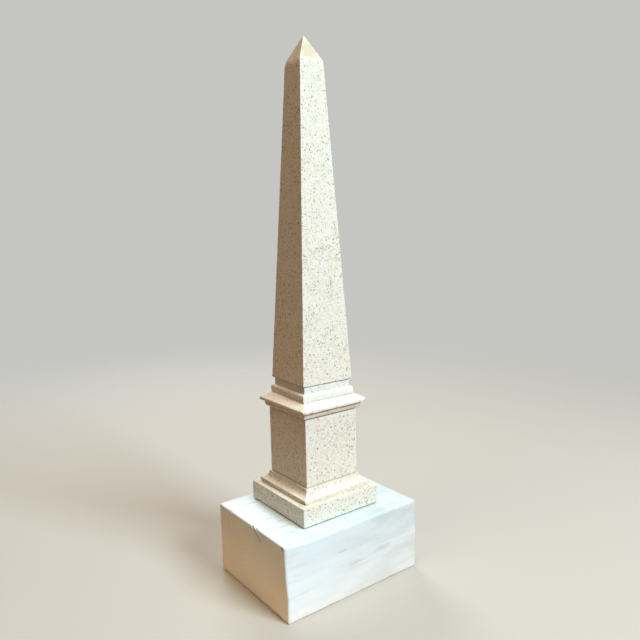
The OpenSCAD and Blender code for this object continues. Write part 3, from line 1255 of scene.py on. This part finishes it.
class OBELISK_OT_stage(bpy.types.Operator):
    """Make the plain floor, the lights, the backdrop colour and the camera"""
    bl_idname = "obelisk.make_stage"
    bl_label = "Stage"

    def execute(self, context):
        settings = context.scene.obelisk_stage
        bm = bmesh.new()
        bmesh.ops.create_circle(bm, cap_ends=True, segments=96, radius=FLOOR_RADIUS)
        mesh = bpy.data.meshes.new("floor")
        bm.to_mesh(mesh)
        bm.free()
        floor = bpy.data.objects.new("floor", mesh)
        context.collection.objects.link(floor)
        mesh.materials.append(make_floor_finish(settings))

        for name, (place, aim_height, size, power, colour) in LIGHTS.items():
            add_area_light(name, place, aim_height, size, getattr(settings, power), colour)
        context.scene.world = make_backdrop(settings)
        context.scene.view_settings.view_transform = "Standard"

        turn, lift, roll = settings.azimuth, settings.elevation, settings.roll
        back = Vector((math.sin(turn) * math.cos(lift), -math.cos(turn) * math.cos(lift), math.sin(lift)))
        side = Vector((math.cos(turn), math.sin(turn), 0.0))
        up = back.cross(side)
        rolled_side = side * math.cos(roll) + up * math.sin(roll)
        rolled_up = up * math.cos(roll) - side * math.sin(roll)
        aim = side * settings.aim_side + Vector((0.0, 0.0, settings.aim_height))
        data = bpy.data.cameras.new("camera")
        data.lens = settings.lens
        data.sensor_width = 36.0
        data.clip_start, data.clip_end = 0.01, 50.0
        camera = bpy.data.objects.new("camera", data)
        context.collection.objects.link(camera)
        turned = Matrix((rolled_side, rolled_up, back)).transposed()
        camera.matrix_world = Matrix.Translation(aim + back * settings.distance) @ turned.to_4x4()
        context.scene.camera = camera
        return {"FINISHED"}


# -------------------------------------------------------------------- panel

PIECE_OPERATORS = (
    OBELISK_OT_block, OBELISK_OT_pad, OBELISK_OT_plinth, OBELISK_OT_base_moulding,
    OBELISK_OT_die, OBELISK_OT_cornice, OBELISK_OT_neck, OBELISK_OT_shaft,
    OBELISK_OT_joints, OBELISK_OT_stage)


class OBELISK_PT_panel(bpy.types.Panel):
    """Lists the pieces of the table obelisk"""
    bl_idname = "OBELISK_PT_panel"
    bl_label = "Table Obelisk"
    bl_space_type = "VIEW_3D"
    bl_region_type = "UI"
    bl_category = "Obelisk"

    def draw(self, context):
        for operator in PIECE_OPERATORS:
            self.layout.operator(operator.bl_idname, text=operator.bl_label)


SETTINGS = {
    "obelisk_stones": ObeliskStoneSizes,
    "obelisk_block": ObeliskBlockSizes,
    "obelisk_finishes": ObeliskFinishes,
    "obelisk_stage": ObeliskStage,
}
CLASSES = (*SETTINGS.values(), *PIECE_OPERATORS, OBELISK_PT_panel)


def register():
    for cls in CLASSES:
        bpy.utils.register_class(cls)
    for name, cls in SETTINGS.items():
        setattr(bpy.types.Scene, name, PointerProperty(type=cls))


def unregister():
    for name in SETTINGS:
        delattr(bpy.types.Scene, name)
    for cls in reversed(CLASSES):
        bpy.utils.unregister_class(cls)


def main():
    register()
    bpy.ops.obelisk.make_block()
    bpy.ops.obelisk.make_pad()
    bpy.ops.obelisk.make_plinth()
    bpy.ops.obelisk.make_base_moulding()
    bpy.ops.obelisk.make_die()
    bpy.ops.obelisk.make_cornice()
    bpy.ops.obelisk.make_neck()
    bpy.ops.obelisk.make_shaft()
    bpy.ops.obelisk.make_joints()
    bpy.ops.obelisk.make_stage()


if __name__ == "__main__":
    main()
